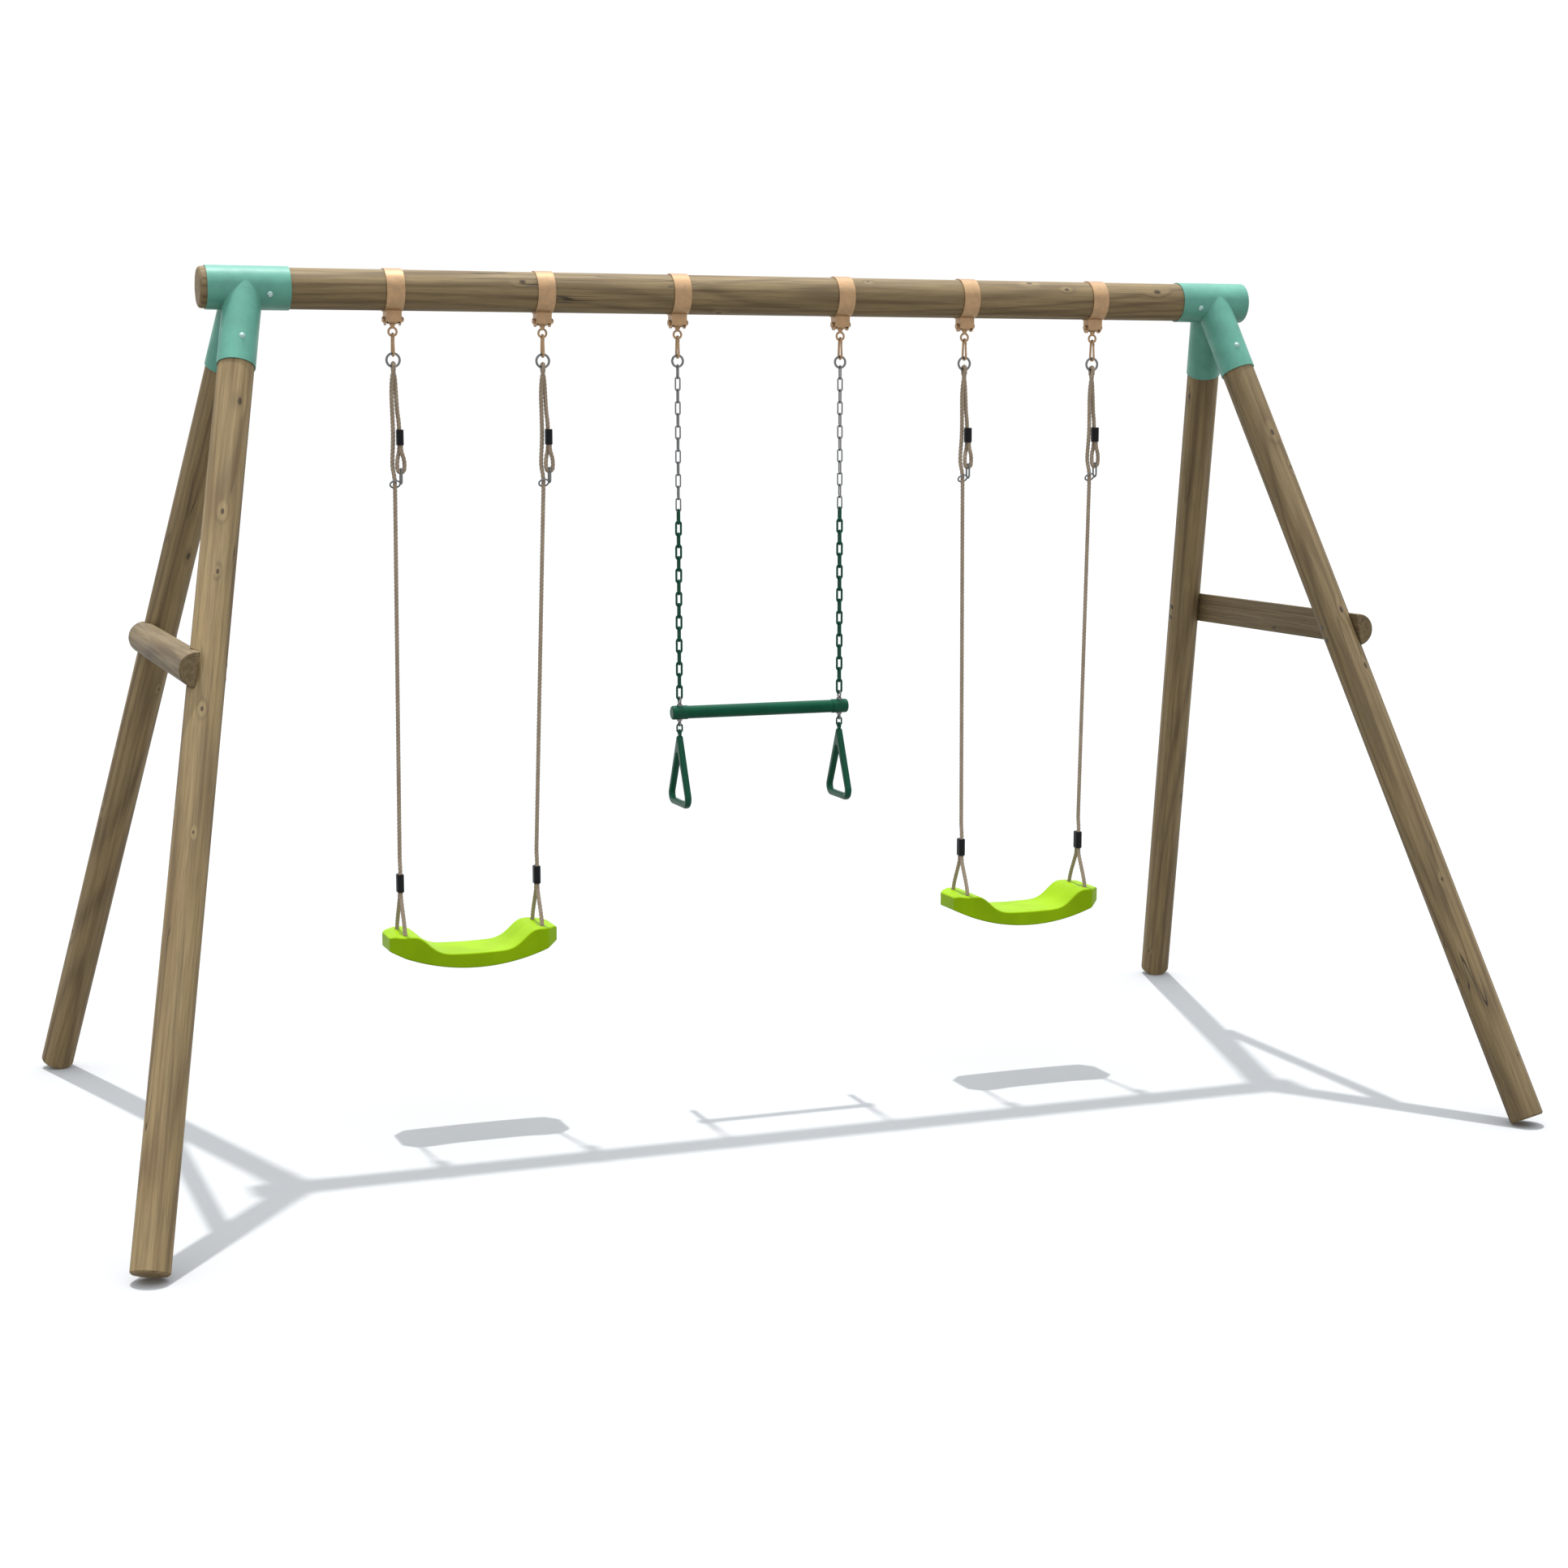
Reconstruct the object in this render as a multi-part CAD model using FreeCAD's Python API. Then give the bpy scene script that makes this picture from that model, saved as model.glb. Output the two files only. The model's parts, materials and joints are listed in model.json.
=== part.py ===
import FreeCAD, Part
import math
import os

# A round-timber swing set: a beam on two A-frames, two rope swings and a chain trapeze with hand grips.
# Millimetres. X runs along the beam, -Y is the front, Z is up, and the origin is on the ground under
# the middle of the frame.

V = FreeCAD.Vector
X_AXIS = V(1, 0, 0)
Y_AXIS = V(0, 1, 0)
Z_AXIS = V(0, 0, 1)
SIDES = (("left", -1), ("right", 1))
RUN_GAP = 0.05  # radial running gap where one part bears on another

# Timber frame
BEAM_R = 50.0
BEAM_LEFT = -1437.0
BEAM_RIGHT = 1420.0
BEAM_ROUND = 8.0
BEAM_RISE = 2106.4  # beam axis above the centres of the legs' end faces
LEG_R = 43.5
LEG_CHAMFER = 4.0
LEG_START = 116.0  # leg's upper end, measured along the leg from the beam's height
LEG_TOP = V(1328.1, 6.7, 0)
LEG_FOOT = V(1746.5, 992.2, 0)
BRACE_R = 42.0
BRACE_FRONT = 473.0
BRACE_REAR = 442.0
BRACE_RISE = 1226.0  # middle of the brace's flat face above the legs' end centres
BRACE_SEAT = 30.6  # flat face from the plane of the leg axes: each leg is housed out to let it in
BRACE_ROUND = 3.0

LEG_RUN = V(LEG_FOOT.x - LEG_TOP.x, LEG_FOOT.y - LEG_TOP.y, -BEAM_RISE)
LEG_SPAN = LEG_RUN.Length
LEG_LEAN = math.hypot(LEG_RUN.x, LEG_RUN.y) / LEG_SPAN  # sine of the leg's angle from upright
FOOT_Z = (LEG_R - LEG_CHAMFER) * LEG_LEAN  # a square-cut leg stands on its inner edge
BEAM_Z = FOOT_Z + BEAM_RISE

# Corner brackets: welded steel tube, one sleeve and two leg sockets each
STEEL = 3.0
SLEEVE_LENGTH = 200.0
SLEEVE_INNER_END = 1220.0
SOCKET_END = 212.0
SOCKET_SCREW = 151.0
SLEEVE_SCREW_X = 1272.0
SLEEVE_SCREW_DROP = 18.6  # degrees below level

# Dome-headed and countersunk wood screws
DOME_R = 8.0
DOME_H = 5.0
DOME_SINK = 1.3
SCREW_R = 4.0
SCREW_LENGTH = 38.0
BRACE_SCREW_R = 3.5
BRACE_SCREW_HEAD_R = 7.0
BRACE_SCREW_LENGTH = 2 * LEG_R + 14.0
BRACE_SCREW_OFFSET = 18.0

# Swing hangers: strap round the beam, with a bushed pivot bolt between two cheeks under it
HANGER_X = (-965.0, -583.0, -225.0, 225.0, 583.0, 965.0)
STRAP_WIDTH = 45.0
CHEEK_IN = 17.0
CHEEK_OUT = 20.0
CHEEK_R = 15.0
SKIRT_DROP = 6.0  # how far the plate in front of the cheeks reaches below the pivot
PIVOT_DROP = BEAM_R + 21.0
PIVOT_Z = BEAM_Z - PIVOT_DROP
BOLT_R = 4.0
HEX_FLATS = 13.0
HEAD_H = 5.3
NUT_H = 6.5
BOLT_TAIL = 2.0
BUSH_R = 9.0
BUSH_HALF = 16.9
COLLAR_R = 11.5
COLLAR_HALF = 12.5
EYE_R = 10.25
EYE_WIRE = 2.75
EYE_DROP = 30.0
EYE_PLATE = 5.0

# Snap hooks and the rings on them
HOOK_WIRE = 3.0
HOOK_TOP_R = 7.0
HOOK_LOW_R = 10.5
HOOK_LENGTH = 60.0
GATE_R = 2.7
GATE_START = 5.5  # gate pin, measured down the side from the top bow
NOSE_RISE = 3.0
NOSE_GAP = 0.3
KNUCKLE_R = 3.2
KNUCKLE_HALF = 1.1
FORK_HALF = 1.2  # half the fork's slot, a running gap wider than the knuckle
FORK_CLEAR = 1.2
GATE_EYE_R = 3.0
GATE_HALF = 2.6
GATE_PIN_R = 1.0
RING_WIRE = 3.0
SWING_RING_R = 16.5
TRAPEZE_RING_R = 14.5

EYE_Z = PIVOT_Z - EYE_DROP
EYE_LOW = EYE_Z - EYE_R
HOOK_TOP = EYE_LOW + EYE_WIRE + HOOK_WIRE + RUN_GAP
HOOK_LOW = HOOK_TOP - (HOOK_LENGTH - 2 * HOOK_WIRE)
RING_TOP = HOOK_LOW + HOOK_WIRE + RING_WIRE + RUN_GAP

# Ropes: u is the distance in X from the rope's own hanger
ROPE_R = 5.5
SEAT_HALF_SPACING = 179.0
STRAND = 5.6  # half the distance between two strands side by side
ROPE_TOP = (
    (13.0, -STRAND, 1782.0),
    (13.0, -STRAND, 1734.0),
    (20.0, -4.8, 1716.0),
    (23.3, -0.8, 1701.0),
    (22.7, 0.0, 1684.0),
    (17.6, 0.0, 1678.9),
    (10.4, 0.0, 1678.9),
    (5.3, 0.0, 1684.0),
    (4.9, 0.9, 1701.0),
    (7.4, 4.6, 1716.0),
    (13.0, STRAND, 1734.0),
    (13.0, STRAND, 1800.0),
    (9.0, 4.0, 1824.0),
    (6.4, 2.0, 1872.0),
    (5.2, 6.5, 1910.0),
    (1.6, 9.6, 1928.0),
    (0.0, 9.3, 1941.4),
    (0.0, 3.9, 1946.9),
    (0.0, -3.9, 1946.9),
    (0.0, -9.3, 1941.4),
    (-1.6, -9.6, 1928.0),
    (-5.2, -6.5, 1910.0),
    (-6.6, -2.0, 1872.0),
    (-5.6, 1.0, 1822.0),
    (-5.0, 5.0, 1765.0),
    (-5.2, 8.4, 1712.0),
    (-5.6, 7.2, 1690.0),
    (-1.5, 0.0, 1662.0),
)
ROPE_FOOT = (
    (-1.0, 704.0),
    (-STRAND, 684.0),
    (-STRAND, 612.0),
    (-10.5, 597.0),
    (-48.0, 528.0),
    (-48.0, 492.0),
    (-38.0, 474.0),
    (38.0, 474.0),
    (48.0, 492.0),
    (48.0, 528.0),
    (10.5, 597.0),
    (STRAND, 612.0),
    (STRAND, 664.0),
)

# Rope ferrules and the two-ring adjusters
UPPER_FERRULE = (13.0, 1745.5, 1784.5, 8.3)  # u, lowest and highest z, end radius
LOWER_FERRULE = (620.5, 666.5, 9.0)  # lowest and highest z, end radius
FERRULE_BORE = 5.55
FERRULE_EDGE = 1.2
ADJUSTER_U = 14.0
ADJUSTER_TOP = 1687.5
ADJUSTER_LOW = 1650.5
ADJUSTER_BOW_R = 9.0
ADJUSTER_WIRE = 2.5
GRIP_CENTRE = (-1.4, 1649.5)  # u and z of the lower, tilted ring
GRIP_R = 12.5
GRIP_WIRE = 2.25
GRIP_TILT = 45.0

# Seats
SEAT_SHIFT = {"left_swing": -22.0, "right_swing": -8.0}  # seat centre from the middle of its hangers
SEAT_HALF = 219.0
SEAT_HALF_DEPTH = 80.0
SEAT_CORNER_X = 186.0
SEAT_CORNER_Y = 46.0
SEAT_LOW = 427.0
SEAT_KEEL_R = 505.0
SEAT_WALL = 5.0
SEAT_DECK = (
    (0.0, 466.0),
    (50.0, 467.0),
    (88.0, 471.5),
    (106.0, 480.0),
    (136.0, 505.0),
    (152.0, 514.5),
    (172.0, 517.0),
    (205.0, 516.5),
)
SEAT_END_TOP = 512.0
SEAT_EDGE = 4.0
SEAT_CORNER_ROUND = 12.0
SEAT_HOLE_Y = 48.0
SEAT_HOLE_R = 6.6
SEAT_BOSS_R = 10.5
SEAT_BOSS_LOW = 496.0
SADDLE_LOW = 480.2
SADDLE_HALF = 28.0
SADDLE_WALL = 6.0
RIB_X = (-110.0, -55.0, 0.0, 55.0, 110.0)
RIB_RISE = 8.0

# Trapeze
ZINC_WIRE = 2.0
ZINC_HALF_WIDTH = 6.0
ZINC_INNER = 31.0
ZINC_LINKS = 12
COAT_WIRE = 2.9
COAT_HALF_WIDTH = 6.6
COAT_INNER = 30.5
COAT_LINKS = 16
BAR_R = 17.0
BAR_WALL = 2.5
BAR_HALF = 241.0
BAR_DROP = 35.0  # bar axis under the last link's lower wire
CAP_R = 18.6
CAP_LENGTH = 43.0
CAP_END = 6.0
CAP_ROUND = 5.0
EYEBOLT_WIRE = 2.5
EYEBOLT_R = 9.0
EYEBOLT_SHANK = 4.0
EYEBOLT_COLLAR_R = 7.0
EYEBOLT_COLLAR_H = 5.0
EYENUT_R = 6.5
EYENUT_GRIP = 1.5
LINK_WIRE = 2.25
LINK_HALF_WIDTH = 7.0
LINK_INNER = 18.0

# Hand grips
GRIP_EYE_R = 6.7
GRIP_EYE_WIRE = 3.5
NECK_R = 8.0
HAND_HALF = 8.5
HAND_CORNER_Y = 47.0
HAND_CORNER_R = 28.0
HAND_LENGTH = 194.0  # from the eye's centre to the bottom of the grip
HAND_SECTION = 17.0
HAND_APEX_DROP = 60.0
HAND_APEX_R = 6.5
HAND_EDGE = 6.0


def export(name, shapes):
    """Writes one node, as one solid or as a group of separate solids."""
    shapes = shapes if isinstance(shapes, list) else [shapes]
    solids = [solid for shape in shapes for solid in shape.Solids]
    bad = [solid for solid in solids if not solid.isValid()]
    if bad:
        print("invalid solid in", name)
    out = solids[0] if len(solids) == 1 else Part.makeCompound(solids)
    out.exportStep("parts/" + name + ".step")


def rod(radius, start, end):
    """A straight round bar between two points."""
    line = end - start
    return Part.makeCylinder(radius, line.Length, start, line)


def polygon_prism(points, along):
    """A flat outline swept straight along a vector."""
    wire = Part.makePolygon(points + [points[0]])
    return Part.Face(wire).extrude(along)


def hex_prism(centre, height):
    """A hexagon head or nut on an X axis, from its inner face outwards along X."""
    radius = HEX_FLATS / math.sqrt(3)
    angles = [math.radians(60 * k) for k in range(6)]
    ring = [centre + V(0, radius * math.cos(a), radius * math.sin(a)) for a in angles]
    return polygon_prism(ring, V(height, 0, 0))


def rounded_route(points):
    """Straight runs joined by tangent arcs, as one wire."""
    edges = []
    cursor = points[0]
    for k in range(1, len(points) - 1):
        before = points[k] - points[k - 1]
        after = points[k + 1] - points[k]
        turn = before.getAngle(after)
        back = V(before).normalize()
        ahead = V(after).normalize()
        reach = 0.45 * min(before.Length, after.Length)
        radius = reach / math.tan(turn / 2)
        start = points[k] - back * reach
        end = points[k] + ahead * reach
        inward = (ahead - back).normalize()
        middle = points[k] + inward * (radius / math.cos(turn / 2) - radius)
        edges.append(Part.LineSegment(cursor, start).toShape())
        edges.append(Part.Arc(start, middle, end).toShape())
        cursor = end
    edges.append(Part.LineSegment(cursor, points[-1]).toShape())
    return Part.Wire(edges)


def tube_along(points, radius):
    """A round tube along a rounded route."""
    wire = rounded_route(points)
    direction = points[1] - points[0]
    ring = Part.Wire(Part.makeCircle(radius, points[0], direction))
    tube = wire.makePipeShell([ring], True, True)
    solid = Part.Solid(tube) if tube.ShapeType == "Shell" else tube
    if solid.Volume < 0:
        solid.reverse()
    return solid


def tangent_sides(circles):
    """Outer tangent points of each pair of neighbouring circles, taken anticlockwise."""
    sides = []
    for k, (a, b, r) in enumerate(circles):
        c, d, s = circles[(k + 1) % len(circles)]
        span = math.hypot(c - a, d - b)
        heading = math.atan2(d - b, c - a)
        normal = heading - math.pi / 2 + math.asin((r - s) / span) * -1
        step = (math.cos(normal), math.sin(normal))
        sides.append(((a + r * step[0], b + r * step[1]), (c + s * step[0], d + s * step[1])))
    return sides


def belt_face(circles, x):
    """The face inside a belt round three circles in a plane across X. Each circle is (y, z, radius)."""
    sides = tangent_sides(circles)
    edges = []
    for k, (start, end) in enumerate(sides):
        a, b, r = circles[(k + 1) % len(circles)]
        follow = sides[(k + 1) % len(sides)][0]
        middle = V(0, (end[0] + follow[0]) / 2 - a, (end[1] + follow[1]) / 2 - b).normalize()
        crown = V(x, a, b) + middle * r
        edges.append(Part.LineSegment(V(x, *start), V(x, *end)).toShape())
        edges.append(Part.Arc(V(x, *end), crown, V(x, *follow)).toShape())
    return Part.Face(Part.Wire(edges))


def stadium_ring(centre, wire, half_width, half_straight, across):
    """A long link: two bows joined by two straight sides. Its long axis is Z; across is its width."""
    low = centre - Z_AXIS * half_straight
    high = centre + Z_AXIS * half_straight
    side = across * half_width
    crown = Z_AXIS * half_width
    path = Part.Wire(
        [
            Part.LineSegment(low + side, high + side).toShape(),
            Part.Arc(high + side, high + crown, high - side).toShape(),
            Part.LineSegment(high - side, low - side).toShape(),
            Part.Arc(low - side, low - crown, low + side).toShape(),
        ]
    )
    ring = Part.Wire(Part.makeCircle(wire, low + side, Z_AXIS))
    link = path.makePipeShell([ring], True, True)
    solid = Part.Solid(link) if link.ShapeType == "Shell" else link
    if solid.Volume < 0:
        solid.reverse()
    return solid


# ---------------------------------------------------------------- frame


def leg_line(sx, sy):
    """A leg axis: its point at the beam's height and its direction down to the foot."""
    top = V(sx * LEG_TOP.x, sy * LEG_TOP.y, BEAM_Z)
    return top, V(sx * LEG_RUN.x, sy * LEG_RUN.y, LEG_RUN.z).normalize()


def frame_normal(sx):
    """Outboard normal of the plane that holds an A-frame's two leg axes."""
    return V(sx * -LEG_RUN.z, 0, LEG_RUN.x).normalize()


def leg(sx, sy):
    top, down = leg_line(sx, sy)
    straight = LEG_SPAN - LEG_CHAMFER
    pole = rod(LEG_R, top + down * LEG_START, top + down * straight)
    foot = Part.makeCone(LEG_R, LEG_R - LEG_CHAMFER, LEG_CHAMFER, top + down * straight, down)
    return pole.fuse(foot).removeSplitter()


def beam():
    pole = rod(BEAM_R, V(BEAM_LEFT, 0, BEAM_Z), V(BEAM_RIGHT, 0, BEAM_Z))
    rims = [edge for edge in pole.Edges if isinstance(edge.Curve, Part.Circle)]
    return pole.makeFillet(BEAM_ROUND, rims)


def brace_housing(sx):
    """The block of leg timber that is cut away where a brace is let in."""
    normal = frame_normal(sx)
    slope = V(-normal.z, 0, normal.x)
    drop = (BEAM_RISE - BRACE_RISE) / BEAM_RISE
    axis_x = sx * (LEG_TOP.x + LEG_RUN.x * drop)
    floor = V(axis_x, -LEG_FOOT.y, FOOT_Z + BRACE_RISE) + normal * (BRACE_SEAT - RUN_GAP)
    half = slope * (BRACE_R + RUN_GAP)
    outward = normal * LEG_R
    corners = [floor - half, floor + half, floor + half + outward, floor - half + outward]
    return polygon_prism(corners, V(0, 2 * LEG_FOOT.y, 0))


def brace(sx):
    """A half-round rail whose flat side is let into the outboard side of both legs."""
    normal = frame_normal(sx)
    slope = V(-normal.z, 0, normal.x)
    drop = (BEAM_RISE - BRACE_RISE) / BEAM_RISE
    axis_x = sx * (LEG_TOP.x + LEG_RUN.x * drop)
    middle = V(axis_x, -BRACE_FRONT, FOOT_Z + BRACE_RISE) + normal * BRACE_SEAT
    flat = Part.LineSegment(middle - slope * BRACE_R, middle + slope * BRACE_R).toShape()
    bow = Part.Arc(middle + slope * BRACE_R, middle + normal * BRACE_R, middle - slope * BRACE_R).toShape()
    rail = Part.Face(Part.Wire([flat, bow])).extrude(V(0, BRACE_FRONT + BRACE_REAR, 0))
    rims = [edge for edge in rail.Edges if isinstance(edge.Curve, Part.Circle)]
    return rail.makeFillet(BRACE_ROUND, rims)


def corner_bracket(sx):
    """One welded piece: a sleeve round the beam and two splayed leg sockets."""
    near = V(sx * SLEEVE_INNER_END, 0, BEAM_Z)
    far = V(sx * (SLEEVE_INNER_END + SLEEVE_LENGTH), 0, BEAM_Z)
    sleeve = rod(BEAM_R + STEEL, near, far)
    outside = sleeve
    hollow = None
    for sy in (-1, 1):
        top, down = leg_line(sx, sy)
        socket = rod(LEG_R + RUN_GAP + STEEL, top, top + down * SOCKET_END)
        bore = rod(LEG_R + RUN_GAP, top, top + down * (SOCKET_END + 1))
        outside = outside.fuse(socket)
        hollow = hollow.fuse(bore) if hollow else bore
    bracket = outside.cut(hollow.cut(sleeve))
    overrun = X_AXIS * sx
    return bracket.cut(rod(BEAM_R + RUN_GAP, near - overrun, far + overrun)).removeSplitter()


def dome_screw(seat, outward):
    """A dome-headed wood screw. seat is under its head and outward points from the tip to the head."""
    ball = (DOME_R**2 + DOME_H**2) / (2 * DOME_H)
    half = math.asin(DOME_R / ball) / 2
    shoulder = V(ball * math.sin(half), 0, DOME_H - ball + ball * math.cos(half))
    outline = [
        Part.LineSegment(V(0, 0, -SCREW_LENGTH), V(SCREW_R, 0, -SCREW_LENGTH)).toShape(),
        Part.LineSegment(V(SCREW_R, 0, -SCREW_LENGTH), V(SCREW_R, 0, 0)).toShape(),
        Part.LineSegment(V(SCREW_R, 0, 0), V(DOME_R, 0, 0)).toShape(),
        Part.Arc(V(DOME_R, 0, 0), shoulder, V(0, 0, DOME_H)).toShape(),
        Part.LineSegment(V(0, 0, DOME_H), V(0, 0, -SCREW_LENGTH)).toShape(),
    ]
    screw = Part.Face(Part.Wire(outline)).revolve(V(0, 0, 0), Z_AXIS, 360)
    screw.Placement = FreeCAD.Placement(seat, FreeCAD.Rotation(Z_AXIS, outward))
    return screw


def dome_screws():
    """Four screws per corner bracket and one at the back of each strap."""
    screws = []
    drop = math.radians(SLEEVE_SCREW_DROP)
    for sx in (-1, 1):
        for sy in (-1, 1):
            outward = V(0, sy * math.cos(drop), -math.sin(drop))
            seat = V(sx * SLEEVE_SCREW_X, 0, BEAM_Z) + outward * (BEAM_R + STEEL - DOME_SINK)
            screws.append(dome_screw(seat, outward))
            top, down = leg_line(sx, sy)
            outward = frame_normal(sx).cross(down).normalize()
            outward = outward if outward.y * sy > 0 else outward * -1
            reach = LEG_R + RUN_GAP + STEEL - DOME_SINK
            screws.append(dome_screw(top + down * SOCKET_SCREW + outward * reach, outward))
    for x in HANGER_X:
        screws.append(dome_screw(V(x, BEAM_R + STEEL - DOME_SINK, BEAM_Z), Y_AXIS))
    return screws


def brace_screws():
    """Two countersunk screws through each leg into the flat of its brace."""
    screws = []
    for sx in (-1, 1):
        normal = frame_normal(sx)
        for sy in (-1, 1):
            top, down = leg_line(sx, sy)
            crossing = (BEAM_RISE - BRACE_RISE) / BEAM_RISE * LEG_SPAN
            for shift in (-BRACE_SCREW_OFFSET, BRACE_SCREW_OFFSET):
                head = top + down * (crossing + shift) - normal * LEG_R
                taper = BRACE_SCREW_HEAD_R - BRACE_SCREW_R
                cone = Part.makeCone(BRACE_SCREW_HEAD_R, BRACE_SCREW_R, taper, head, normal)
                shank = rod(BRACE_SCREW_R, head + normal * taper, head + normal * BRACE_SCREW_LENGTH)
                screws.append(cone.fuse(shank).removeSplitter())
    return screws


# ---------------------------------------------------------------- hangers


def strap(x):
    """A closed steel band round the beam, with two cheeks for the pivot bolt and a plate in front of them."""
    half = STRAP_WIDTH / 2
    band = rod(BEAM_R + RUN_GAP + STEEL, V(x - half, 0, BEAM_Z), V(x + half, 0, BEAM_Z))
    for side in (-1, 1):
        inner = V(x + side * CHEEK_IN, 0, PIVOT_Z)
        outer = V(x + side * CHEEK_OUT, 0, PIVOT_Z)
        low = min(inner.x, outer.x)
        block = Part.makeBox(STEEL, 2 * CHEEK_R, PIVOT_DROP, V(low, -CHEEK_R, PIVOT_Z))
        band = band.fuse([block, rod(CHEEK_R, inner, outer)])
    skirt_low = V(x - CHEEK_OUT, -CHEEK_R - STEEL, PIVOT_Z - SKIRT_DROP)
    band = band.fuse(Part.makeBox(2 * CHEEK_OUT, STEEL, PIVOT_DROP, skirt_low))
    band = band.cut(rod(BEAM_R + RUN_GAP, V(x - half - 1, 0, BEAM_Z), V(x + half + 1, 0, BEAM_Z)))
    hole = rod(BOLT_R + RUN_GAP, V(x - half, 0, PIVOT_Z), V(x + half, 0, PIVOT_Z))
    return band.cut(hole).removeSplitter()


def hanger_bolt(x):
    """The pivot bolt and its nut, as two solids."""
    head = hex_prism(V(x - CHEEK_OUT, 0, PIVOT_Z), -HEAD_H)
    tail = CHEEK_OUT + NUT_H + BOLT_TAIL
    shank = rod(BOLT_R, V(x - CHEEK_OUT, 0, PIVOT_Z), V(x + tail, 0, PIVOT_Z))
    nut = hex_prism(V(x + CHEEK_OUT, 0, PIVOT_Z), NUT_H)
    return [head.fuse(shank).removeSplitter(), nut.cut(shank)]


def bush(x):
    start = V(x - BUSH_HALF, 0, PIVOT_Z)
    end = V(x + BUSH_HALF, 0, PIVOT_Z)
    return rod(BUSH_R, start, end).cut(rod(BOLT_R + RUN_GAP, start, end))


def hanger_eye(x):
    """A collar on the bush, a tapered plate and an eye that faces front and back."""
    collar = rod(COLLAR_R, V(x - COLLAR_HALF, 0, PIVOT_Z), V(x + COLLAR_HALF, 0, PIVOT_Z))
    plate = polygon_prism(
        [
            V(x - COLLAR_HALF, -EYE_PLATE / 2, PIVOT_Z),
            V(x + COLLAR_HALF, -EYE_PLATE / 2, PIVOT_Z),
            V(x + EYE_WIRE + 1, -EYE_PLATE / 2, EYE_Z + EYE_R),
            V(x - EYE_WIRE - 1, -EYE_PLATE / 2, EYE_Z + EYE_R),
        ],
        V(0, EYE_PLATE, 0),
    )
    ring = Part.makeTorus(EYE_R, EYE_WIRE, V(x, 0, EYE_Z), Y_AXIS)
    bore = rod(BUSH_R + RUN_GAP, V(x - CHEEK_IN, 0, PIVOT_Z), V(x + CHEEK_IN, 0, PIVOT_Z))
    return collar.fuse([plate, ring]).cut(bore).removeSplitter()


def hook_lines():
    """Bow centres and side tangent points of a snap hook, as (y, z) pairs for the +Y side."""
    top = HOOK_TOP - HOOK_TOP_R
    low = HOOK_LOW + HOOK_LOW_R
    flare = math.asin((HOOK_LOW_R - HOOK_TOP_R) / (top - low))
    upper = (HOOK_TOP_R * math.cos(flare), top + HOOK_TOP_R * math.sin(flare))
    lower = (HOOK_LOW_R * math.cos(flare), low + HOOK_LOW_R * math.sin(flare))
    return top, low, flare, upper, lower


def gate_ends(x):
    """The gate's pin centre and the point of its free end, on the front side of the hook."""
    flare, upper, lower = hook_lines()[2:]
    start = V(x, -upper[0], upper[1])
    end = V(x, -lower[0], lower[1])
    along = (end - start).normalize()
    pin = start + along * GATE_START
    nose = end - along * NOSE_RISE
    return pin, nose, along


def snap_hook(x):
    """A pear-shaped hook of round wire, open at the front where the gate closes it."""
    upper, lower = hook_lines()[3:]
    pin, nose, along = gate_ends(x)
    path = Part.Wire(
        [
            Part.LineSegment(pin - along * KNUCKLE_R, V(x, -upper[0], upper[1])).toShape(),
            Part.Arc(V(x, -upper[0], upper[1]), V(x, 0, HOOK_TOP), V(x, upper[0], upper[1])).toShape(),
            Part.LineSegment(V(x, upper[0], upper[1]), V(x, lower[0], lower[1])).toShape(),
            Part.Arc(V(x, lower[0], lower[1]), V(x, 0, HOOK_LOW), V(x, -lower[0], lower[1])).toShape(),
            Part.LineSegment(V(x, -lower[0], lower[1]), nose).toShape(),
        ]
    )
    ring = Part.Wire(Part.makeCircle(HOOK_WIRE, pin - along * KNUCKLE_R, along))
    wire = path.makePipeShell([ring], True, True)
    body = Part.Solid(wire) if wire.ShapeType == "Shell" else wire
    if body.Volume < 0:
        body.reverse()
    wide = X_AXIS * KNUCKLE_HALF
    knuckle = rod(KNUCKLE_R, pin - wide, pin + wide)
    tongue = rod(KNUCKLE_HALF, pin - along * (KNUCKLE_R + HOOK_WIRE), pin)
    body = body.fuse([knuckle, tongue])
    return body.cut(rod(GATE_PIN_R + RUN_GAP, pin - wide * 2, pin + wide * 2))


def snap_gate(x):
    """The gate: a forked bar with its pin, closing on the hook's nose."""
    pin, nose, along = gate_ends(x)
    tip = nose - along * NOSE_GAP
    fork = rod(GATE_EYE_R, pin - X_AXIS * GATE_HALF, pin + X_AXIS * GATE_HALF)
    slot = rod(KNUCKLE_R + FORK_CLEAR, pin - X_AXIS * FORK_HALF, pin + X_AXIS * FORK_HALF)
    shaft = rod(GATE_PIN_R, pin - X_AXIS * GATE_HALF, pin + X_AXIS * GATE_HALF)
    return rod(GATE_R, pin, tip).fuse(fork).cut(slot).fuse(shaft).removeSplitter()


def hanging_ring(x, radius):
    return Part.makeTorus(radius, RING_WIRE, V(x, 0, RING_TOP - radius), Y_AXIS)


# ---------------------------------------------------------------- rope swings


def rope(hanger_x, seat_hole_x):
    """A rope from its tail in the upper ferrule, round the ring and down to its loop through the seat."""
    upper = [V(hanger_x + u, y, z) for u, y, z in ROPE_TOP]
    points = upper + [V(seat_hole_x, y, z) for y, z in ROPE_FOOT]
    return tube_along(points, ROPE_R)


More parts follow.
